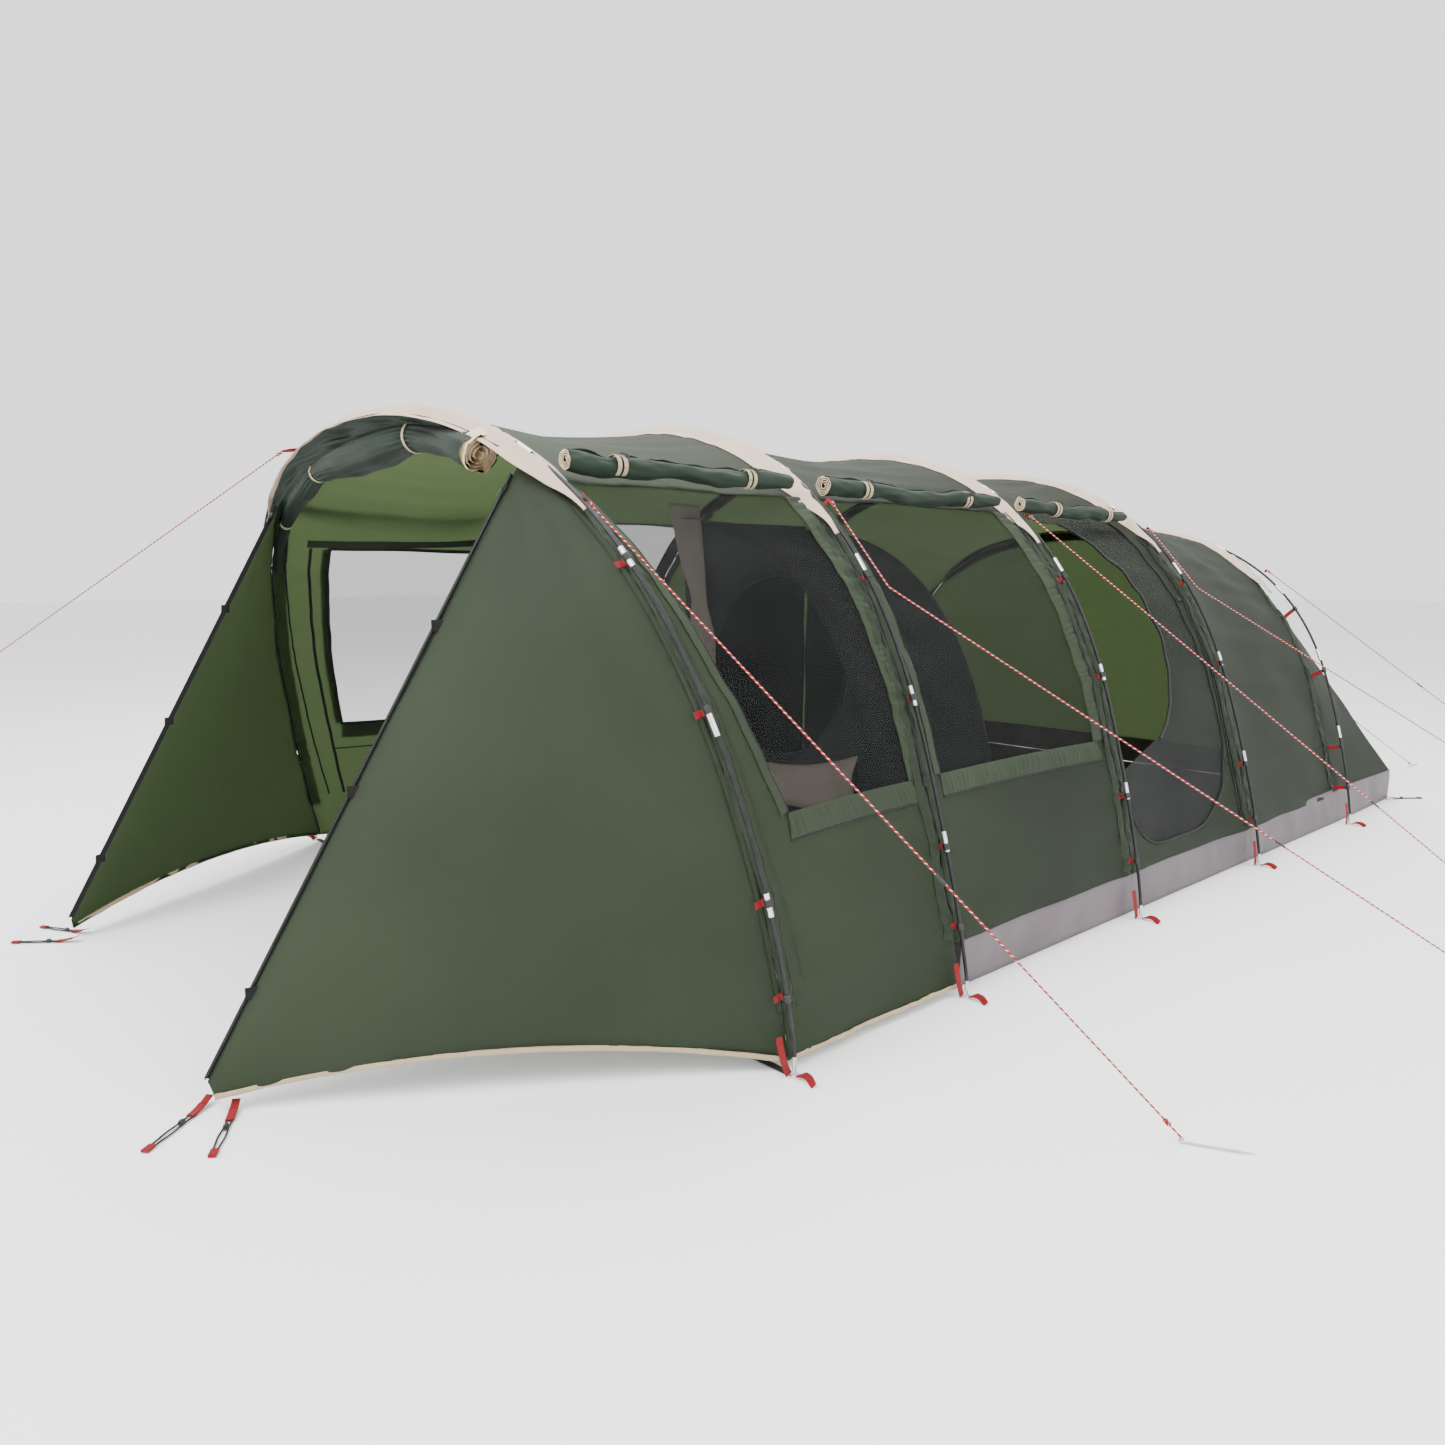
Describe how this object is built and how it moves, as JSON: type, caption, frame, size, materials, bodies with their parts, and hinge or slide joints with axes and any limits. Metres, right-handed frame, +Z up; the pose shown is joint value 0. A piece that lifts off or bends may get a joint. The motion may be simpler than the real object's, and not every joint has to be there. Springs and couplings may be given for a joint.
{
  "type": "tunnel tent",
  "caption": "Family tunnel tent with pole hoops outside a green fly, an open front porch with two wings, rolled doors and windows, an inner cabin, a floor skirt and guy lines.",
  "frame": {"origin": "on the ground, midway between the front and rear corners and between the two sides", "axes": "+X to the tent's right as seen from its front, +Y from the open porch to the rear, +Z up"},
  "size_m": [7.0307, 9.5776, 2.0471],
  "materials": {
    "fibreglass": "satin black fibreglass rod",
    "plated_steel": "bright plated",
    "peg_steel": "galvanised",
    "red_webbing": "woven webbing",
    "black_webbing": "woven webbing",
    "clip_plastic": "moulded",
    "sleeve_fabric": "woven polyester, cream",
    "fly_fabric": "coated polyester, sage green",
    "floor_fabric": "coated polyethylene, light grey",
    "flap_fabric": "coated polyester, darker green inside face",
    "cream_tape": "woven tape",
    "mesh": "fine insect mesh",
    "cabin_fabric": "breathable dark polyester",
    "zip_tape": "black coil zip",
    "slider_metal": "black enamel",
    "elastic": "black shock cord",
    "guy_cord": "braided red cord with pale flecks",
    "runner_plastic": "moulded"
  },
  "bodies": {
    "tent": {"pole_hoop_1": "fibreglass", "pole_hoop_2": "fibreglass", "pole_hoop_3": "fibreglass", "pole_hoop_4": "fibreglass", "pole_hoop_5": "fibreglass", "pole_ferrules": "plated_steel", "pole_end_tips": "plated_steel", "foot_rings": "plated_steel", "webbing_tabs": "red_webbing", "front_base_strap": "black_webbing", "pole_clips": "clip_plastic", "clip_tapes": "red_webbing", "pole_sleeves": "sleeve_fabric", "front_wing_right": "fly_fabric", "front_wing_left": "fly_fabric", "fly_bay_1": "fly_fabric", "fly_bay_2": "fly_fabric", "fly_bay_3": "fly_fabric", "fly_bay_4": "fly_fabric", "rear_panel": "fly_fabric", "groundsheet": "floor_fabric", "floor_skirt": "floor_fabric", "front_door_roll": "flap_fabric", "window_rolls": "flap_fabric", "side_door_roll": "flap_fabric", "roll_ties": "cream_tape", "window_mesh": "mesh", "side_door_mesh": "mesh", "inner_cabin": "cabin_fabric", "wing_zips": "zip_tape", "side_door_zip": "zip_tape", "hem_tapes": "cream_tape", "corner_elastics": "elastic", "guy_pegs": "peg_steel", "guy_right_1": "guy_cord", "guy_right_2": "guy_cord", "guy_right_3": "guy_cord", "guy_right_4": "guy_cord", "guy_right_5": "guy_cord", "guy_left_1": "guy_cord", "guy_left_2": "guy_cord", "guy_left_3": "guy_cord", "guy_left_4": "guy_cord", "guy_left_5": "guy_cord", "guy_rear_right": "guy_cord", "guy_rear_left": "guy_cord"},
    "runner_right_1": {"runner_right_1": "runner_plastic"},
    "runner_right_2": {"runner_right_2": "runner_plastic"},
    "runner_right_3": {"runner_right_3": "runner_plastic"},
    "runner_right_4": {"runner_right_4": "runner_plastic"},
    "runner_right_5": {"runner_right_5": "runner_plastic"},
    "runner_left_1": {"runner_left_1": "runner_plastic"},
    "runner_left_2": {"runner_left_2": "runner_plastic"},
    "runner_left_3": {"runner_left_3": "runner_plastic"},
    "runner_left_4": {"runner_left_4": "runner_plastic"},
    "runner_left_5": {"runner_left_5": "runner_plastic"},
    "zip_slider_right": {"zip_slider_right": "slider_metal"},
    "zip_slider_left": {"zip_slider_left": "slider_metal"}
  },
  "joints": [
    {"name": "runner_slide_right_1", "type": "slide", "parent": "tent", "child": "runner_right_1", "axis": [-0.6265, -0.338, 0.7023], "range_m": [-0.3, 0.4]},
    {"name": "runner_slide_right_2", "type": "slide", "parent": "tent", "child": "runner_right_2", "axis": [-0.6701, -0.5055, 0.5436], "range_m": [-0.3, 0.4]},
    {"name": "runner_slide_right_3", "type": "slide", "parent": "tent", "child": "runner_right_3", "axis": [-0.6773, -0.354, 0.645], "range_m": [-0.3, 0.4]},
    {"name": "runner_slide_right_4", "type": "slide", "parent": "tent", "child": "runner_right_4", "axis": [-0.5796, -0.633, 0.5132], "range_m": [-0.3, 0.4]},
    {"name": "runner_slide_right_5", "type": "slide", "parent": "tent", "child": "runner_right_5", "axis": [-0.688, -0.3784, 0.6192], "range_m": [-0.3, 0.4]},
    {"name": "runner_slide_left_1", "type": "slide", "parent": "tent", "child": "runner_left_1", "axis": [0.732, 0.4843, 0.4793], "range_m": [-0.3, 0.4]},
    {"name": "runner_slide_left_2", "type": "slide", "parent": "tent", "child": "runner_left_2", "axis": [0.6701, -0.5055, 0.5436], "range_m": [-0.3, 0.4]},
    {"name": "runner_slide_left_3", "type": "slide", "parent": "tent", "child": "runner_left_3", "axis": [0.6773, -0.354, 0.645], "range_m": [-0.3, 0.4]},
    {"name": "runner_slide_left_4", "type": "slide", "parent": "tent", "child": "runner_left_4", "axis": [0.5796, -0.633, 0.5132], "range_m": [-0.3, 0.4]},
    {"name": "runner_slide_left_5", "type": "slide", "parent": "tent", "child": "runner_left_5", "axis": [0.688, -0.3784, 0.6192], "range_m": [-0.3, 0.4]},
    {"name": "zip_slide_right", "type": "slide", "parent": "tent", "child": "zip_slider_right", "axis": [0.0564, 0.4919, 0.8688], "range_m": [-1.78, 0]},
    {"name": "zip_slide_left", "type": "slide", "parent": "tent", "child": "zip_slider_left", "axis": [-0.0564, 0.4919, 0.8688], "range_m": [-1.78, 0]}
  ]
}
